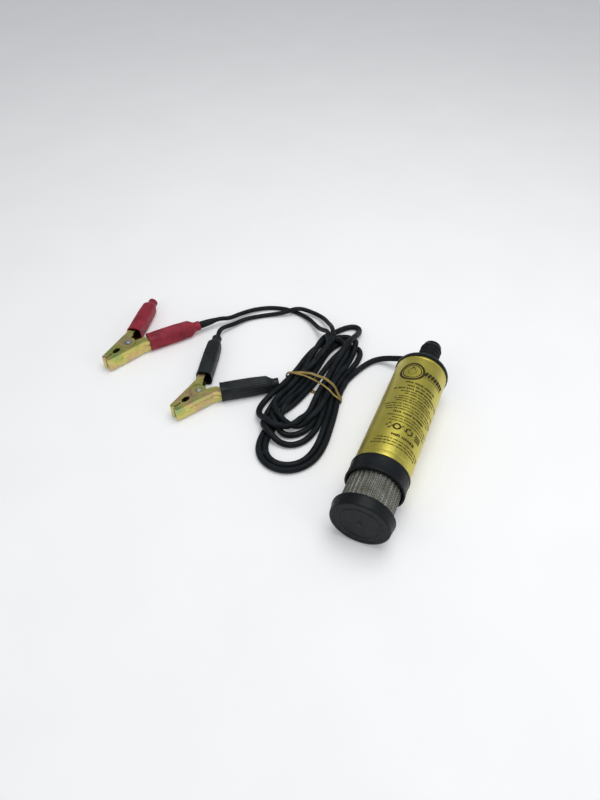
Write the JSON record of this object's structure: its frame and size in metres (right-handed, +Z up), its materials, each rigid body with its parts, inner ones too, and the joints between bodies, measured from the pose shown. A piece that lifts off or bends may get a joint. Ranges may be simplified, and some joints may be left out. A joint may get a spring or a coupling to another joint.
{
  "type": "submersible fluid transfer pump",
  "caption": "Slim submersible transfer pump with strainer, hose barb, tied battery lead and spring clips that open.",
  "frame": {"origin": "on the floor, under the middle of the pump lying on its side", "axes": "+Z up, +Y along the pump from its strainer cap to its hose barb, -X towards the tied cord and the clips"},
  "size_m": [0.3577, 0.2681, 0.055],
  "materials": {
    "black_plastic": "moulded, slightly worn",
    "gold_aluminium": "gold anodised, satin, with a printed pattern",
    "steel_mesh": "woven wire",
    "steel": "plain",
    "zinc_steel": "yellow zinc plate with a rainbow sheen",
    "brass": "plain",
    "bronze": "sintered",
    "copper": "plain",
    "magnet": "sintered ferrite",
    "carbon": "pressed carbon",
    "seal_rubber": "smooth",
    "cord_rubber": "matte cord jacket",
    "red_vinyl": "soft dipped vinyl",
    "black_vinyl": "soft dipped vinyl",
    "band_rubber": "stretched rubber band"
  },
  "bodies": {
    "root": {"intake_collar": "black_plastic", "lower_o_ring": "seal_rubber", "housing_tube": "gold_aluminium", "upper_o_ring": "seal_rubber", "outlet_cover": "black_plastic", "cable_gland": "seal_rubber", "chamber_plate": "black_plastic", "shaft_seal": "seal_rubber", "motor_screw_left": "steel", "motor_screw_right": "steel", "motor_can": "steel", "motor_end_cap": "black_plastic", "front_bushing": "bronze", "rear_bushing": "bronze", "upper_magnet": "magnet", "lower_magnet": "magnet", "brush_left": "carbon", "brush_right": "carbon", "brush_arm_left": "brass", "brush_arm_right": "brass", "motor_lead_red": "red_vinyl", "motor_lead_black": "cord_rubber", "cord_tail": "cord_rubber", "cord_hank": "cord_rubber", "rubber_band": "band_rubber", "cord_split": "cord_rubber", "red_lead": "cord_rubber", "black_lead": "cord_rubber", "red_clip_fixed_arm": "zinc_steel", "red_clip_rivet": "steel", "red_clip_spring": "steel", "red_clip_fixed_grip": "red_vinyl", "red_clip_ferrule": "copper", "red_clip_lead_boot": "cord_rubber", "black_clip_fixed_arm": "zinc_steel", "black_clip_rivet": "steel", "black_clip_spring": "steel", "black_clip_fixed_grip": "black_vinyl", "black_clip_ferrule": "copper", "black_clip_lead_boot": "cord_rubber"},
    "rotor": {"motor_shaft": "steel", "impeller": "black_plastic", "impeller_nut": "brass", "armature_core": "steel", "front_winding": "copper", "rear_winding": "copper", "commutator": "copper"},
    "strainer": {"strainer_cap": "black_plastic", "strainer_cage": "black_plastic", "strainer_mesh": "steel_mesh"},
    "red_lever": {"red_clip_moving_arm": "zinc_steel", "red_clip_moving_grip": "red_vinyl"},
    "black_lever": {"black_clip_moving_arm": "zinc_steel", "black_clip_moving_grip": "black_vinyl"}
  },
  "joints": [
    {"name": "rotor_spin", "type": "hinge", "parent": "root", "child": "rotor", "pos_m": [0, 0, 0.0275], "axis": [0, 1, 0], "continuous": true},
    {"name": "strainer_pull", "type": "slide", "parent": "root", "child": "strainer", "axis": [0, -1, 0], "range_m": [0, 0.055]},
    {"name": "red_clip_jaw", "type": "hinge", "parent": "root", "child": "red_lever", "pos_m": [-0.3061, 0.0105, 0.0096], "axis": [0, 0, -1], "range_deg": [0, 18], "stiffness_Nm_per_rad": 0.3, "springref_deg": -57.3, "deforming": ["red_clip_spring"]},
    {"name": "black_clip_jaw", "type": "hinge", "parent": "root", "child": "black_lever", "pos_m": [-0.2004, -0.0241, 0.0096], "axis": [0, 0, 1], "range_deg": [0, 30], "stiffness_Nm_per_rad": 0.3, "springref_deg": -57.3, "deforming": ["black_clip_spring"]}
  ]
}
